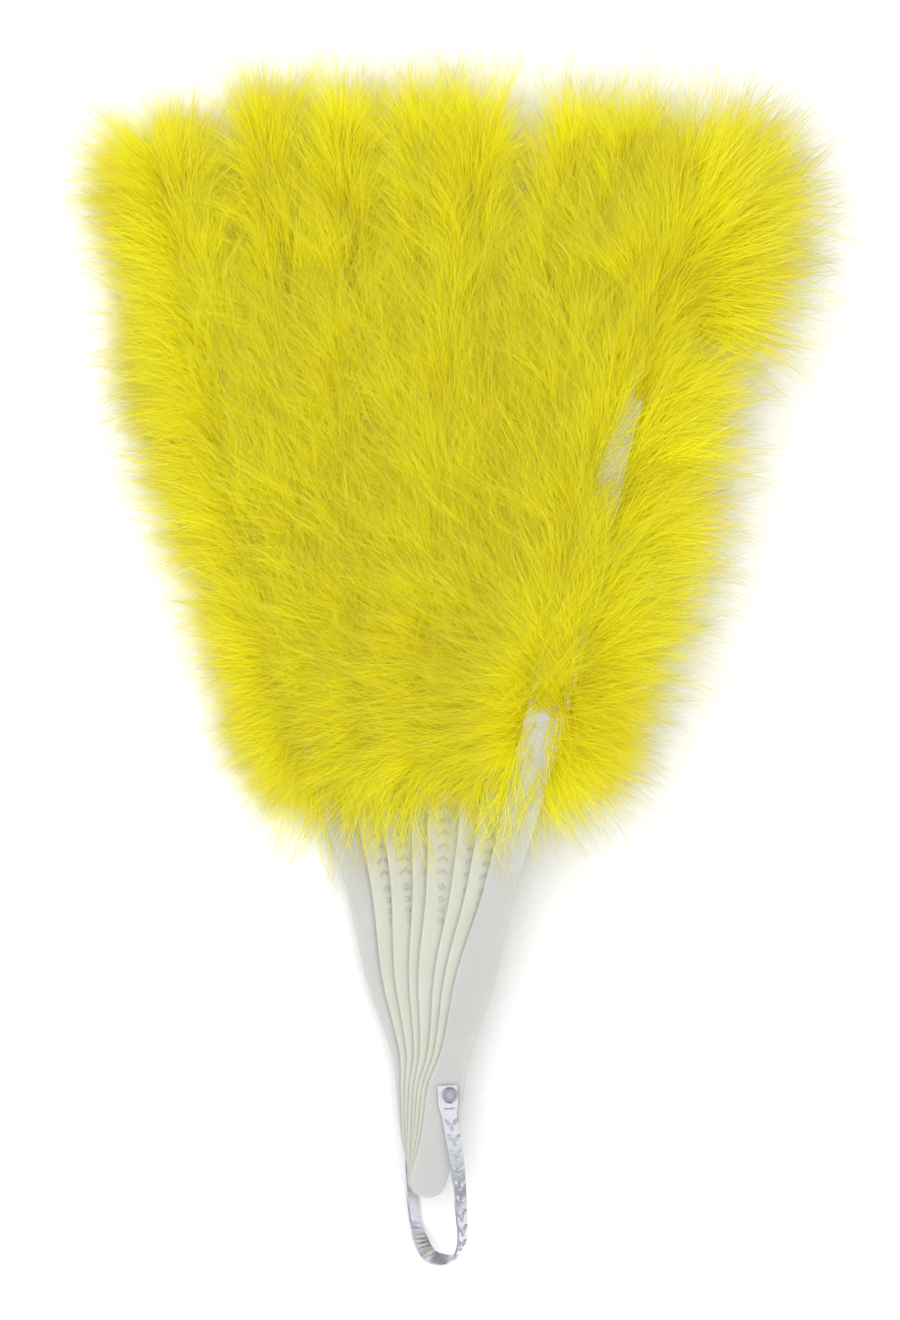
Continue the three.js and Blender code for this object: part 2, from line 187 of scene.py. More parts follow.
def node(tree, kind, inputs=None, **settings):
    """Adds a node, with its settings, and sets or links its inputs."""
    made = tree.nodes.new(kind)
    for name, value in settings.items():
        setattr(made, name, value)
    for key, value in (inputs or {}).items():
        if isinstance(value, bpy.types.NodeSocket):
            tree.links.new(value, made.inputs[key])
        else:
            made.inputs[key].default_value = value
    return made


def new_material(name):
    """A material with an empty tree and its output."""
    material = bpy.data.materials.new(name)
    material.use_nodes = True
    tree = material.node_tree
    tree.nodes.clear()
    return material, tree, node(tree, "ShaderNodeOutputMaterial")


def new_tree(name, inputs):
    """A tree of geometry nodes with these named inputs."""
    tree = bpy.data.node_groups.new(name, "GeometryNodeTree")
    tree.interface.new_socket("Geometry", in_out="OUTPUT", socket_type="NodeSocketGeometry")
    for socket, kind in inputs.items():
        tree.interface.new_socket(socket, in_out="INPUT", socket_type=f"NodeSocket{kind}")
    return tree


# Materials

def marabou_down():
    """Dyed marabou: soft barbs that glow with light behind them. Along a barb the colour holds painted light
    and shade: a deeper root, the brightest yellow partway out, a paler painted glow towards the end and a
    dark painted shade at the very end.
    """
    material, tree, output = new_material("dyed_marabou_down_painted_light")
    place = node(tree, "ShaderNodeUVMap", uv_map="down")
    split = node(tree, "ShaderNodeSeparateXYZ", {0: place.outputs[0]})
    along = node(tree, "ShaderNodeValToRGB", {"Fac": split.outputs["X"]})
    # Painted light along a barb: deeper at the root, brightest partway, paler towards the end as a painted
    # glow of light through the thin barb, and dark at the very end as painted shade on the fringe
    ramp = along.color_ramp
    ramp.elements[0].color = srgb("#F0E616")
    ramp.elements[1].color = srgb("#80783C")
    ramp.elements.new(0.4).color = srgb("#FFFD30")
    ramp.elements.new(0.72).color = srgb("#F6F05C")
    # Some tufts took the dye less well than others
    lots = node(tree, "ShaderNodeValToRGB", {"Fac": split.outputs["Y"]})
    lots.color_ramp.elements[0].color = srgb("#F0E6AC")
    lots.color_ramp.elements[1].color = srgb("#FFFFFF")
    lots.color_ramp.elements[0].position = 0.1
    lots.color_ramp.elements[1].position = 0.5
    tinted = node(tree, MIX, {
        MIX_FACTOR: 1.0, MIX_COLOUR_A: along.outputs["Color"], MIX_COLOUR_B: lots.outputs["Color"],
    }, data_type="RGBA", blend_type="MULTIPLY").outputs[MIX_COLOUR_OUT]
    barb = node(tree, "ShaderNodeBsdfPrincipled", {
        "Base Color": tinted, "Roughness": 0.85, "Specular IOR Level": 0.3})
    glow = node(tree, "ShaderNodeBsdfTranslucent", {"Color": tinted})
    both = node(tree, "ShaderNodeMixShader", {"Fac": 0.55, 1: barb.outputs[0], 2: glow.outputs[0]})
    tree.links.new(both.outputs[0], output.inputs["Surface"])
    return material


def moulded_plastic(name, colour, shade):
    """Injection-moulded polystyrene: milky, with a satin skin, a faint flow mottle and dull patches."""
    material, tree, output = new_material(name)
    flow_size = 14 * MM
    grain_size = 0.6 * MM
    place = node(tree, "ShaderNodeTexCoord").outputs["Object"]
    flow = node(tree, NOISE, {"Vector": place, "Scale": 1 / flow_size, "Detail": 3.0}).outputs["Fac"]
    grain = node(tree, NOISE, {"Vector": place, "Scale": 1 / grain_size, "Detail": 2.0}).outputs["Fac"]
    mottle = node(tree, MIX, {
        MIX_FACTOR: flow, MIX_COLOUR_A: srgb(colour), MIX_COLOUR_B: srgb(shade)}, data_type="RGBA")
    dull = node(tree, "ShaderNodeMapRange", {"Value": flow, "To Min": 0.3, "To Max": 0.46})
    bump = node(tree, "ShaderNodeBump", {"Strength": 0.12, "Distance": 0.05 * MM, "Height": grain})
    plastic = node(tree, "ShaderNodeBsdfPrincipled", {
        "Base Color": mottle.outputs[MIX_COLOUR_OUT], "Roughness": dull.outputs[0],
        "Normal": bump.outputs[0], "IOR": 1.55,
        "Subsurface Weight": 0.6, "Subsurface Radius": (1, 1, 0.9), "Subsurface Scale": 3 * MM})
    tree.links.new(plastic.outputs[0], output.inputs["Surface"])
    return material


def plated_steel(name, colour, tarnished, rub_width):
    """Bright nickel plate: long fine rub marks and a slightly uneven shine."""
    material, tree, output = new_material(name)
    place = node(tree, "ShaderNodeTexCoord").outputs["Object"]
    stretch = node(tree, "ShaderNodeMapping", {"Vector": place, "Scale": (1, 0.12, 1)}).outputs[0]
    rubs = node(tree, NOISE, {"Vector": stretch, "Scale": 1 / rub_width, "Detail": 4.0}).outputs["Fac"]
    shine = node(tree, "ShaderNodeMapRange", {"Value": rubs, "To Min": 0.16, "To Max": 0.36})
    tarnish = node(tree, MIX, {
        MIX_FACTOR: rubs, MIX_COLOUR_A: srgb(colour), MIX_COLOUR_B: srgb(tarnished)}, data_type="RGBA")
    bump = node(tree, "ShaderNodeBump", {"Strength": 0.1, "Distance": 0.03 * MM, "Height": rubs})
    metal = node(tree, "ShaderNodeBsdfPrincipled", {
        "Base Color": tarnish.outputs[MIX_COLOUR_OUT], "Metallic": 1.0,
        "Roughness": shine.outputs[0], "Normal": bump.outputs[0]})
    tree.links.new(metal.outputs[0], output.inputs["Surface"])
    return material


def paper_floor():
    """White paper sweep: matt, with a faint tooth."""
    material, tree, output = new_material("white_paper")
    tooth_size = 2 * MM
    place = node(tree, "ShaderNodeTexCoord").outputs["Object"]
    tooth = node(tree, NOISE, {"Vector": place, "Scale": 1 / tooth_size}).outputs["Fac"]
    paper = node(tree, MIX, {
        MIX_FACTOR: tooth, MIX_COLOUR_A: srgb("#F0F0F0"), MIX_COLOUR_B: srgb("#EBEBEB")}, data_type="RGBA")
    sheet = node(tree, "ShaderNodeBsdfPrincipled", {
        "Base Color": paper.outputs[MIX_COLOUR_OUT], "Roughness": 0.9})
    tree.links.new(sheet.outputs[0], output.inputs["Surface"])
    return material


# Where each stave lies

def stave_line(name):
    """The pivot of a stave and its direction on the table, from its rivet hole to its head."""
    if name == "rear_guard":
        first = Vector(JOINTS["inner_stick_1_turn"]["pos_m"])
        step = Vector(JOINTS["inner_stick_2_turn"]["pos_m"]) - first
        pivot = first - step
    else:
        pivot = Vector(JOINTS[f"{name}_turn"]["pos_m"])
    flat = [Vector((v.co.x - pivot.x, v.co.y - pivot.y, 0)) for v in NODES[name].data.vertices]
    far = max(p.length for p in flat)
    head = [p for p in flat if p.length > far - HEAD_STRETCH]
    along = sum(head, Vector()) / len(head)
    return pivot, along.normalized()


# Down

def tuft_mesh(name, kind):
    """A tuft of down one unit long on +Z: tapered ribbons that part and draw together again."""
    rng = random.Random(FIRST_TUFT_SEED + kind)
    points, faces, reach = [], [], []
    lean = rng.uniform(*TUFT_LEAN)
    parting = rng.uniform(*TUFT_PARTING)
    closing = rng.uniform(*TUFT_CLOSING)
    if kind % POINTED_EVERY == 0:
        parting, closing = POINTED_PARTING, POINTED_CLOSING
    width = BARB_WIDTH / BARB_WIDTH_AT_LENGTH
    for barb in range(BARBS):
        turn = math.tau * (barb + rng.random()) / BARBS
        far = rng.uniform(*BARB_REACH)
        part = parting * rng.uniform(*BARB_PARTING)
        wave = rng.uniform(-BARB_WAVE, BARB_WAVE)
        twist = rng.uniform(0, math.pi)
        first = len(points)
        for step in range(BARB_STEPS + 1):
            t = step / BARB_STEPS
            out = part * t ** PARTING_POWER * (1 - closing * t * t) + wave * math.sin(WAVE_ANGLE * t)
            mid = Vector((math.cos(turn) * out + lean * t * t, math.sin(turn) * out, far * t))
            half = 0.5 * width * (1 - BARB_TAPER * t)
            side = Vector((math.cos(twist + t), math.sin(twist + t), 0)) * half
            if step < BARB_STEPS:
                points += [mid - side, mid + side]
                reach += [far * t, far * t]
            else:
                points.append(mid)
                reach.append(far)
        for step in range(BARB_STEPS - 1):
            a = first + 2 * step
            faces.append((a, a + 1, a + 3, a + 2))
        a = first + 2 * (BARB_STEPS - 1)
        faces.append((a, a + 1, a + 2))
    mesh = bpy.data.meshes.new(name)
    mesh.from_pydata(points, [], faces)
    mesh.attributes.new("reach", "FLOAT", "POINT").data.foreach_set("value", reach)
    mesh.shade_smooth()
    return mesh


def tuft_collection():
    """The kinds of tuft that the plumes are made of."""
    kinds = bpy.data.collections.new("tuft_kinds")
    for kind in range(TUFT_KINDS):
        name = f"tuft_kind_{kind}"
        kinds.objects.link(bpy.data.objects.new(name, tuft_mesh(name, kind)))
    return kinds


def tuft_fields(tree, size):
    """What each tuft has of its own: its share of the quill, its side of it, and its random values."""
    index = node(tree, "GeometryNodeInputIndex").outputs[0]
    share = node(tree, MATH, {0: index, 1: size["Tufts"]}, operation="DIVIDE").outputs[0]
    # Tufts leave the quill to the left, 0 or -1, and to the right, 1, in turn
    odd = node(tree, MATH, {0: index, 1: 2.0}, operation="MODULO").outputs[0]
    side = node(tree, MATH, {0: odd, 1: 2.0, 2: -1.0}, operation="MULTIPLY_ADD").outputs[0]
    run = node(tree, VECTOR_MATH, {0: size["Quill Tip"], 1: size["Quill Root"]}, operation="SUBTRACT")
    ahead = node(tree, VECTOR_MATH, {0: run.outputs[0]}, operation="NORMALIZE").outputs[0]
    across = node(tree, VECTOR_MATH, {0: ahead, 1: (0, 0, 1)}, operation="CROSS_PRODUCT").outputs[0]
    out = node(tree, VECTOR_MATH, {0: across, "Scale": side}, operation="SCALE").outputs[0]
    # Noise is read a metre apart on the two sides, so that they don't mirror each other
    place = node(tree, "GeometryNodeInputPosition").outputs[0]
    sided = node(tree, COMBINE, {"Z": side}).outputs[0]
    apart = node(tree, VECTOR_MATH, {0: place, 1: sided}, operation="ADD").outputs[0]
    tuft = {"share": share, "odd": odd, "ahead": ahead, "out": out, "place": place, "apart": apart}
    less = node(tree, MATH, {0: size["Scatter"], 1: -1.0}, operation="MULTIPLY").outputs[0]
    ranges = {
        "scatter": (less, size["Scatter"]), "lift": (size["Low Lift"], size["High Lift"]),
        "shift": ROOT_SHIFT, "growth": GROWTH, "roll": (-math.pi, math.pi), "tone": (0.0, 1.0),
    }
    for number, (name, (least, most)) in enumerate(ranges.items(), 1):
        seed = node(tree, MATH, {0: size["Seed"], 1: float(number)}, operation="ADD").outputs[0]
        tuft[name] = node(tree, RANDOM, {RANDOM_LEAST: least, RANDOM_MOST: most, RANDOM_SEED: seed},
                          data_type="FLOAT").outputs[RANDOM_OUT]
    return tuft


def tuft_heading(tree, size, tuft):
    """The way a tuft points: off the quill by its angle, and up or down by its lift."""
    # Neighbouring tufts sway alike, so that the down falls in clumps with partings between them
    clump = node(tree, NOISE, {
        "Vector": tuft["apart"], "Scale": 1 / CLUMP_SIZE, "Detail": CLUMP_DETAIL}).outputs["Fac"]
    sway = node(tree, MATH, {0: clump, 1: 0.5}, operation="SUBTRACT").outputs[0]
    swayed = node(tree, MATH, {0: sway, 1: size["Clumping"]}, operation="MULTIPLY").outputs[0]
    bend = node(tree, MIX, {
        MIX_FACTOR: tuft["share"], MIX_A: size["Root Angle"], MIX_B: size["Tip Angle"]}).outputs[0]
    spread = node(tree, MIX, {
        MIX_FACTOR: tuft["odd"], MIX_A: size["Left Spread"], MIX_B: size["Right Spread"]}).outputs[0]
    loose = node(tree, MATH, {0: swayed, 1: tuft["scatter"]}, operation="ADD").outputs[0]
    leaned = node(tree, MATH, {0: bend, 1: spread}, operation="ADD").outputs[0]
    angle = node(tree, MATH, {0: leaned, 1: loose}, operation="ADD").outputs[0]
    cosine = node(tree, MATH, {0: angle}, operation="COSINE").outputs[0]
    sine = node(tree, MATH, {0: angle}, operation="SINE").outputs[0]
    forward = node(tree, VECTOR_MATH, {0: tuft["ahead"], "Scale": cosine}, operation="SCALE").outputs[0]
    sideways = node(tree, VECTOR_MATH, {0: tuft["out"], "Scale": sine}, operation="SCALE").outputs[0]
    level = node(tree, VECTOR_MATH, {0: forward, 1: sideways}, operation="ADD").outputs[0]
    slope = node(tree, MATH, {0: tuft["lift"]}, operation="TANGENT").outputs[0]
    rise = node(tree, COMBINE, {"Z": slope}).outputs[0]
    return node(tree, VECTOR_MATH, {0: level, 1: rise}, operation="ADD").outputs[0]


def tuft_length(tree, size, tuft):
    """How long a tuft is. Whole patches stay short beside long ones, so that the fan's edge is ragged."""
    sided = node(tree, MIX, {
        MIX_FACTOR: tuft["odd"], MIX_A: size["Left Length"], MIX_B: size["Right Length"]}).outputs[0]
    full = node(tree, MATH, {0: size["Tuft Length"], 1: sided}, operation="MULTIPLY").outputs[0]
    grown = node(tree, MATH, {0: full, 1: tuft["growth"]}, operation="MULTIPLY").outputs[0]
    patch = node(tree, NOISE, {
        "Vector": tuft["apart"], "Scale": 1 / SHORT_PATCH, "Detail": 1.0}).outputs["Fac"]
    ragged = node(tree, "ShaderNodeMapRange", {
        "Value": patch, "From Min": SHORT_NOISE[0], "From Max": SHORT_NOISE[1],
        "To Min": SHORT_GROWTH[0], "To Max": SHORT_GROWTH[1]}).outputs[0]
    return node(tree, MATH, {0: grown, 1: ragged}, operation="MULTIPLY").outputs[0]


def lay_down(tree, down, place, lot):
    """Down that would sink into the table lies on it, and none stands up far."""
    at = node(tree, "ShaderNodeSeparateXYZ", {0: place}).outputs
    nap = node(tree, MATH, {0: lot, 1: TABLE_NAP_RANGE, 2: TABLE_NAP}, operation="MULTIPLY_ADD").outputs[0]
    under = node(tree, MATH, {0: at["Z"], 1: FLUFF_TOP, 2: TOP_EASE}, operation="SMOOTH_MIN").outputs[0]
    above = node(tree, MATH, {0: under, 1: nap, 2: TABLE_EASE}, operation="SMOOTH_MAX").outputs[0]
    kept = node(tree, COMBINE, {"X": at["X"], "Y": at["Y"], "Z": above}).outputs[0]
    return node(tree, "GeometryNodeSetPosition", {"Geometry": down, "Position": kept}).outputs[0]


def plume_tree():
    """Tufts of down along a quill: they leave it to both sides, up and down, and turn towards its tip."""
    tree = new_tree("Down along a quill", {
        "Geometry": "Geometry", "Quill Root": "Vector", "Quill Tip": "Vector", "Tufts": "Int",
        "Tuft Length": "Float", "Root Angle": "Float", "Tip Angle": "Float", "Scatter": "Float",
        "Clumping": "Float", "Left Spread": "Float", "Right Spread": "Float", "Left Length": "Float",
        "Right Length": "Float", "Low Lift": "Float", "High Lift": "Float", "Root Offset": "Float",
        "Tip Offset": "Float", "Seed": "Int", "Kinds": "Collection", "Down": "Material"})
    size = node(tree, "NodeGroupInput").outputs
    # With end points, a mesh line takes its far end as its offset
    quill = node(tree, "GeometryNodeMeshLine", {
        "Count": size["Tufts"], "Start Location": size["Quill Root"], "Offset": size["Quill Tip"],
    }, mode="END_POINTS").outputs[0]
    tuft = tuft_fields(tree, size)

    beside = node(tree, MIX, {
        MIX_FACTOR: tuft["share"], MIX_A: size["Root Offset"], MIX_B: size["Tip Offset"]}).outputs[0]
    shift = node(tree, MATH, {0: beside, 1: tuft["shift"]}, operation="MULTIPLY").outputs[0]
    moved = node(tree, VECTOR_MATH, {0: tuft["out"], "Scale": shift}, operation="SCALE").outputs[0]
    roots = node(tree, "GeometryNodeSetPosition", {"Geometry": quill, "Offset": moved}).outputs[0]

    facing = node(tree, "FunctionNodeAlignRotationToVector", {
        "Vector": tuft_heading(tree, size, tuft)}, axis="Z").outputs[0]
    roll = node(tree, "FunctionNodeAxisAngleToRotation", {
        "Axis": (0, 0, 1), "Angle": tuft["roll"]}).outputs[0]
    turned = node(tree, "FunctionNodeRotateRotation", {
        "Rotation": facing, "Rotate By": roll}, rotation_space="LOCAL").outputs[0]
    kinds = node(tree, "GeometryNodeCollectionInfo", {
        "Collection": size["Kinds"], "Separate Children": True, "Reset Children": True}).outputs[0]
    pick = node(tree, RANDOM, {
        RANDOM_LEAST_INT: 0, RANDOM_MOST_INT: TUFT_KINDS - 1, RANDOM_SEED: size["Seed"],
    }, data_type="INT").outputs[RANDOM_INT_OUT]
    down = node(tree, "GeometryNodeInstanceOnPoints", {
        "Points": roots, "Instance": kinds, "Pick Instance": True, "Instance Index": pick,
        "Rotation": turned, "Scale": tuft_length(tree, size, tuft)}).outputs[0]

    shade = node(tree, NOISE, {
        "Vector": tuft["place"], "Scale": 1 / TONE_PATCH, "Detail": 1.0}).outputs["Fac"]
    tone = node(tree, MIX, {MIX_FACTOR: TONE_SCATTER, MIX_A: shade, MIX_B: tuft["tone"]}).outputs[0]
    toned = node(tree, "GeometryNodeStoreNamedAttribute", {
        "Geometry": down, "Name": "tone", "Value": tone}, data_type="FLOAT", domain="INSTANCE").outputs[0]
    real = node(tree, "GeometryNodeRealizeInstances", {"Geometry": toned}).outputs[0]

    # The map that the colours are read from: along a barb, and from tuft to tuft
    reach = node(tree, "GeometryNodeInputNamedAttribute", {"Name": "reach"}, data_type="FLOAT").outputs[0]
    lot = node(tree, "GeometryNodeInputNamedAttribute", {"Name": "tone"}, data_type="FLOAT").outputs[0]
    chart = node(tree, COMBINE, {"X": reach, "Y": lot}).outputs[0]
    mapped = node(tree, "GeometryNodeStoreNamedAttribute", {
        "Geometry": real, "Name": "down", "Value": chart}, data_type="FLOAT2", domain="CORNER").outputs[0]
    laid = lay_down(tree, mapped, tuft["place"], lot)
    dyed = node(tree, "GeometryNodeSetMaterial", {"Geometry": laid, "Material": size["Down"]}).outputs[0]
    node(tree, "NodeGroupOutput", {0: dyed})
    return tree


def grow(name, tree, sizes, body, start=None):
    """Runs a node tree with these sizes, keeps its result as a plain mesh and lets it ride on a body."""
    holder = bpy.data.objects.new(name, start or bpy.data.meshes.new(name))
    bpy.context.scene.collection.objects.link(holder)
    modifier = holder.modifiers.new("grow", "NODES")
    modifier.node_group = tree
    inputs = {s.name: s.identifier for s in tree.interface.items_tree if s.in_out == "INPUT"}
    for key, value in sizes.items():
        modifier[inputs[key]] = value
    bpy.context.view_layer.update()
    evaluated = holder.evaluated_get(bpy.context.evaluated_depsgraph_get())
    mesh = bpy.data.meshes.new_from_object(evaluated)
    holder.modifiers.remove(modifier)
    holder.data = mesh
    mesh.name = name
    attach(holder, body)
    return holder


def down_runs(is_rear, is_front):
    """The runs of down on a stave, by name: its three plumes, then what lies over and below them."""
    runs = {f"{part}_plume": plume for part, plume in PLUMES.items()}
    if is_front:
        return {**runs, "crossing": FRONT_CROSSING, "wisps": FRONT_WISPS, "crown": CROWN, "hanging": HANGING}
    runs = {**runs, "crossing": CROSSING, "wisps": WISPS}
    return {**runs, "crown": REAR_CROWN} if is_rear else runs


def dress_plumes(down):
    """Replaces the solid of each plume by down on its quill, and lays some across the staves."""
    kinds = tuft_collection()
    tree = plume_tree()
    for k, stave in enumerate(STAVES):
        pivot, along = stave_line(stave)
        is_rear, is_front = stave == "rear_guard", stave == "front_guard"
        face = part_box(stave)[1][2]
        for number, (part, run) in enumerate(down_runs(is_rear, is_front).items()):
            is_plume = part.endswith("plume")
            height = max(face - QUILL_DEPTH, QUILL_LEAST_HEIGHT) if is_plume else face - FACE_DEPTH
            first, last = run["quill"]
            if part == "lower_plume" and (is_rear or is_front):
                first += GUARD_HEM
            if part == "tip_plume":
                first = FRONT_TIP_ROOT if is_front else first
                last += TIP_SHIFTS[k]
            foot = Vector((pivot.x, pivot.y, height))
            tufts = TUFTS_PER_GUARD_PLUME if is_rear or is_front else TUFTS_PER_PLUME
            lifts = run.get("lift", PLUME_LIFT)
            offsets = run.get("offsets", PLUME_OFFSETS)
            piece = grow(f"{stave}_{part}_down", tree, {
                "Quill Root": foot + along * first * MM,
                "Quill Tip": foot + along * last * MM,
                "Tufts": run.get("tufts", tufts),
                "Tuft Length": run["length"] * MM,
                "Root Angle": math.radians(run["angles"][0]),
                "Tip Angle": math.radians(run["angles"][1]),
                "Scatter": math.radians(run["scatter"]),
                "Clumping": math.radians(CLUMP_SWAY),
                "Left Spread": math.radians(run.get("rear_outer", 0)) if is_rear else 0.0,
                "Right Spread": math.radians(run.get("front_outer", 0)) if is_front else 0.0,
                "Left Length": run.get("rear_length", 1.0) if is_rear else 1.0,
                "Right Length": run.get("front_length", 1.0) if is_front else 1.0,
                "Low Lift": math.radians(lifts[0]),
                "High Lift": math.radians(lifts[1]),
                "Root Offset": offsets[0] * MM,
                "Tip Offset": offsets[1] * MM,
                "Seed": 100 * k + 10 * number,
                "Kinds": kinds,
                "Down": down}, stave)
            if is_plume:
                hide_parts(f"{stave}_{part}")
    for kind in list(kinds.objects):
        bpy.data.objects.remove(kind)
    bpy.data.collections.remove(kinds)


# Marks pressed into the staves and the strip

def ngon(sides, near, far=None):
    """Outline of a regular shape, or of a star with near and far points."""
    radii = [near if far is None or i % 2 else far for i in range(sides)]
    return [(radius * math.sin(math.tau * i / sides), radius * math.cos(math.tau * i / sides))
            for i, radius in enumerate(radii)][::-1]


# Outlines in mm, on the middle of a mark
CHEVRON = [(0, 0.75), (-1.35, -0.35), (-1.35, -0.95), (0, 0.15), (1.35, -0.95), (1.35, -0.35)]
LEAF = [(0.1, -1.1), (0.9, -1.0), (1.6, -0.1), (1.75, 0.95), (0.95, 0.6), (0.3, -0.2)]
LEFT_LEAF = [(-x, y) for x, y in LEAF][::-1]
FOLD = [(-1.9, -0.22), (1.9, -0.22), (1.9, 0.22), (-1.9, 0.22)]
# Marks: their outline, their height in mm, the share of the outline that is their top, and where they sit,
# in mm from the rivet towards the head of a stave, or from the rivet down the strip
STAVE_MARKS = {
    "chevrons": {"outline": CHEVRON, "height": 0.22, "top": 0.7, "at": [76 - 3.4 * i for i in range(6)]},
    "star": {"outline": ngon(10, 0.55, 1.3), "height": 0.25, "top": 0.35, "at": [54.8]},
    "dots": {"outline": ngon(10, 0.75), "height": 0.25, "top": 0.5, "at": [51.6, 48.8, 46.0]},
}
LEAVES_AT = [7 + 4 * i for i in range(10)]
PEARLS_AT = [8.7 + 4 * i for i in range(9)]
STRIP_MARKS = {
    "leaves_right": {"outline": LEAF, "height": 0.6, "top": 0.25, "at": LEAVES_AT},
    "leaves_left": {"outline": LEFT_LEAF, "height": 0.6, "top": 0.25, "at": LEAVES_AT},
    "pearls": {"outline": ngon(8, 0.55), "height": 0.55, "top": 0.35, "at": PEARLS_AT},
    "fold": {"outline": FOLD, "height": 0.4, "top": 0.4, "at": [3.6]},
}
# Swing of the hanging loop at rest, in degrees about the rivet, and the least height of its outer side
LOOP_SWING = 4
STRIP_LEAST_HEIGHT = 2 * MM
# Rays start this far above the staves and the strip
ABOVE_STAVES = 200 * MM
ABOVE_STRIP = 50 * MM


def raised(name, mark):
    """A low relief on an outline: upright sides from just below the surface, then a chamfer to its top."""
    outline, height = mark["outline"], mark["height"]
    middle = sum((Vector((*p, 0)) for p in outline), Vector()) / len(outline)
    points = []
    for share, lift in ((1.0, -0.1), (1.0, 0.5), (mark["top"], 1.0)):
        up = Vector((0, 0, lift * height))
        points += [middle + (Vector((*p, 0)) - middle) * share + up for p in outline]
    count = len(outline)
    faces = [tuple(2 * count + i for i in range(count))]
    for ring in range(2):
        for i in range(count):
            j = (i + 1) % count
            low, high = ring * count, (ring + 1) * count
            faces.append((low + i, low + j, high + j, high + i))
    mesh = bpy.data.meshes.new(name)
    mesh.from_pydata(points, [], faces)
    return bpy.data.objects.new(name, mesh)


def marks_tree():
    """Marks set on points of a surface, upright on it and turned along it."""
    tree = new_tree("Marks on a surface", {
        "Points": "Geometry", "Mark": "Object", "Size": "Float", "Finish": "Material"})
    size = node(tree, "NodeGroupInput").outputs
    way = {name: node(tree, "GeometryNodeInputNamedAttribute", {"Name": name}, data_type="FLOAT_VECTOR")
           for name in ("out", "along")}
    turned = node(tree, "FunctionNodeAxesToRotation", {
        "Primary Axis": way["out"].outputs[0], "Secondary Axis": way["along"].outputs[0],
    }, primary_axis="Z", secondary_axis="Y").outputs[0]
    mark = node(tree, "GeometryNodeObjectInfo", {"Object": size["Mark"]}).outputs["Geometry"]
    set_down = node(tree, "GeometryNodeInstanceOnPoints", {
        "Points": size["Points"], "Instance": mark, "Rotation": turned, "Scale": size["Size"]}).outputs[0]
    real = node(tree, "GeometryNodeRealizeInstances", {"Geometry": set_down}).outputs[0]
    done = node(tree, "GeometryNodeSetMaterial", {"Geometry": real, "Material": size["Finish"]}).outputs[0]
    node(tree, "NodeGroupOutput", {0: done})
    return tree


def surface(name):
    """A tree of the faces of a CAD node, to find points on it."""
    mesh = NODES[name].data
    return BVHTree.FromPolygons([v.co for v in mesh.vertices], [tuple(f.vertices) for f in mesh.polygons])


def set_marks(name, tree, mark, places, finish, body):
    """One piece of equal marks at places, each a point, the way out of the surface and the way along it."""
    holder = bpy.data.meshes.new(name)
    holder.from_pydata([place[0] for place in places], [], [])
    for key, column in (("out", 1), ("along", 2)):
        values = [c for place in places for c in place[column]]
        holder.attributes.new(key, "FLOAT_VECTOR", "POINT").data.foreach_set("vector", values)
    piece = grow(name, tree, {"Mark": mark, "Size": MM, "Finish": finish}, body, holder)


def press_staves(tree, finish):
    """A column of chevrons, a star and three dots on each inner stave."""
    shapes = {name: raised(name, mark) for name, mark in STAVE_MARKS.items()}
    for stave in STAVES[1:-1]:
        pivot, along = stave_line(stave)
        face = surface(stave)
        for name, shape in shapes.items():
            places = []
            for station in STAVE_MARKS[name]["at"]:
                above = pivot + along * station * MM + Vector((0, 0, ABOVE_STAVES))
                point, normal, *_ = face.ray_cast(above, Vector((0, 0, -1)))
                places.append((point, normal, along))
            set_marks(f"{stave}_{name}", tree, shape, places, finish, stave)


def emboss_strip(tree, finish):
    """Pairs of leaves with pearls between them on the outer side of the strip, and a fold below its eye."""
    pin = JOINTS["loop_swing"]
    middle, axis = Vector(pin["pos_m"]), Vector(pin["axis"]).normalized()
    strip = surface("hanging_loop")
    down = Matrix.Rotation(math.radians(LOOP_SWING), 3, axis) @ Vector((0, -1, 0))
    for name, mark in STRIP_MARKS.items():
        places = []
        for drop in mark["at"]:
            point, normal, *_ = strip.ray_cast(middle + down * drop * MM + axis * ABOVE_STRIP, -axis)
            if point is not None and (point - middle).dot(axis) > STRIP_LEAST_HEIGHT:
                places.append((point, normal, -down))
        shape = raised(name, mark)
        set_marks(f"hanging_loop_{name}", tree, shape, places, finish, "hanging_loop")


# Stage

def paper_sweep():
    """The paper that the fan lies on."""
    floor = bpy.data.meshes.new("floor")
    corners = [(x * FLOOR_REACH, y * FLOOR_REACH, 0) for x, y in ((-1, -1), (1, -1), (1, 1), (-1, 1))]
    floor.from_pydata(corners, [], [(0, 1, 2, 3)])
    sheet = bpy.data.objects.new("floor", floor)
    bpy.context.scene.collection.objects.link(sheet)
    floor.materials.append(paper_floor())


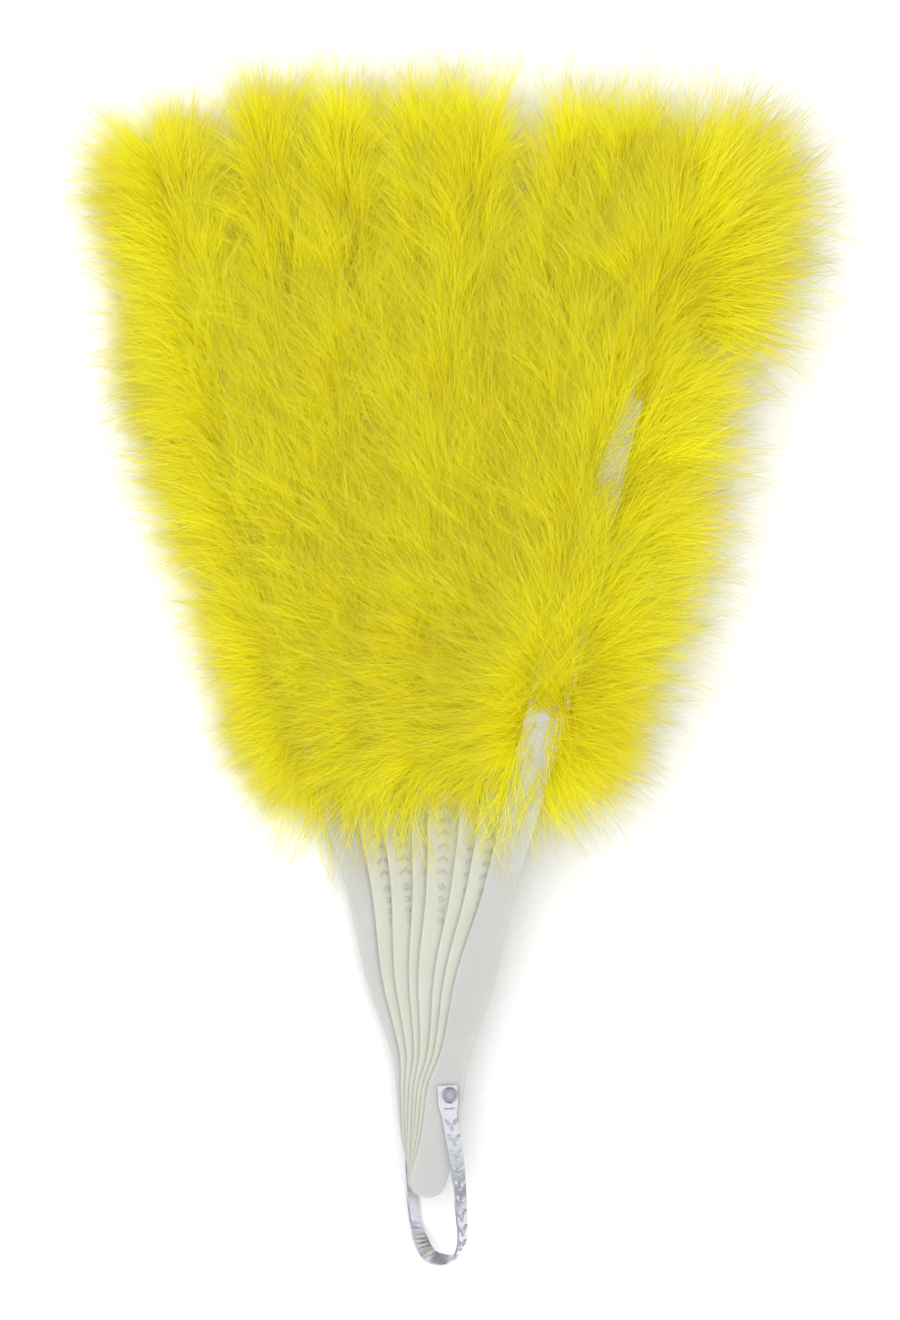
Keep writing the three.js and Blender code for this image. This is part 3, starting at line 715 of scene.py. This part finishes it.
def studio_light():
    """A white tent, grey near the horizon so that metal has something to show, and a soft lamp overhead."""
    world = bpy.data.worlds.new("white_tent")
    bpy.context.scene.world = world
    world.use_nodes = True
    tree = world.node_tree
    tree.nodes.clear()
    where = node(tree, "ShaderNodeTexCoord")
    height = node(tree, "ShaderNodeSeparateXYZ", {0: where.outputs["Generated"]})
    tent = node(tree, "ShaderNodeValToRGB", {"Fac": height.outputs["Z"]})
    tent.color_ramp.elements[0].color = TENT_HORIZON
    tent.color_ramp.elements[1].color = TENT_TOP
    glow = node(tree, "ShaderNodeBackground", {"Color": tent.outputs["Color"], "Strength": TENT_STRENGTH})
    node(tree, "ShaderNodeOutputWorld", {"Surface": glow.outputs[0]})

    lamp = bpy.data.lights.new("softbox", "AREA")
    lamp.energy = LAMP_POWER
    lamp.size = LAMP_SIZE
    softbox = bpy.data.objects.new("softbox", lamp)
    softbox.location = LAMP_PLACE
    softbox.rotation_euler = (-softbox.location).to_track_quat("-Z", "Y").to_euler()
    # Flat plated metal would mirror the lamp and turn plain white
    softbox.visible_glossy = False
    bpy.context.scene.collection.objects.link(softbox)


def camera():
    """Straight above the fan, with the photograph's frame at the photograph's scale."""
    rivet = Vector(JOINTS["loop_swing"]["pos_m"])
    middle = [rivet.x + (FRAME_PX[0] / 2 - RIVET_PX[0]) / PX_PER_MM * MM,
              rivet.y + (RIVET_PX[1] - FRAME_PX[1] / 2) / PX_PER_MM * MM]
    lens = bpy.data.cameras.new("camera")
    lens.sensor_fit = "VERTICAL"
    lens.angle = 2 * math.atan(FRAME_PX[1] / PX_PER_MM * MM / 2 / (CAMERA_HEIGHT - FOCUS_HEIGHT))
    eye = bpy.data.objects.new("camera", lens)
    eye.location = (*middle, CAMERA_HEIGHT)
    bpy.context.scene.collection.objects.link(eye)
    bpy.context.scene.camera = eye


def finish_node(name, material):
    """Gives a CAD node its material."""
    NODES[name].data.materials.clear()
    NODES[name].data.materials.append(material)


camera()
paper_sweep()
studio_light()
bpy.context.scene.view_settings.view_transform = "Standard"

guard_plastic = moulded_plastic("moulded_white_polystyrene", "#B8B9B6", "#AFB0AD")
# The sticks' cream is partly their own colour and partly painted light: a yellow tint that stands in for the
# light the down throws through and onto them
stick_plastic = moulded_plastic("moulded_cream_polystyrene_painted_yellow_bounce", "#C0C1B6", "#B7B8AC")
# The marks' plastic is a darker cream than the sticks': painted shade that stands in for the shadow in their
# engraved lines
groove_shade_plastic = moulded_plastic("cream_polystyrene_painted_groove_shade", "#B8B9A9", "#AFB09F")
rivet_plate = plated_steel("nickel_plated_rivet", "#B8BAC0", "#9EA0A8", 0.5 * MM)
strip_plate = plated_steel("nickel_plated_strip", "#E4E6EC", "#C6C8D0", 0.4 * MM)
for stave in STAVES:
    finish_node(stave, guard_plastic if stave.endswith("guard") else stick_plastic)
finish_node("rivet_post", rivet_plate)
finish_node("rivet_cap", rivet_plate)
finish_node("hanging_loop", strip_plate)
dress_plumes(marabou_down())
marks = marks_tree()
press_staves(marks, groove_shade_plastic)
emboss_strip(marks, strip_plate)
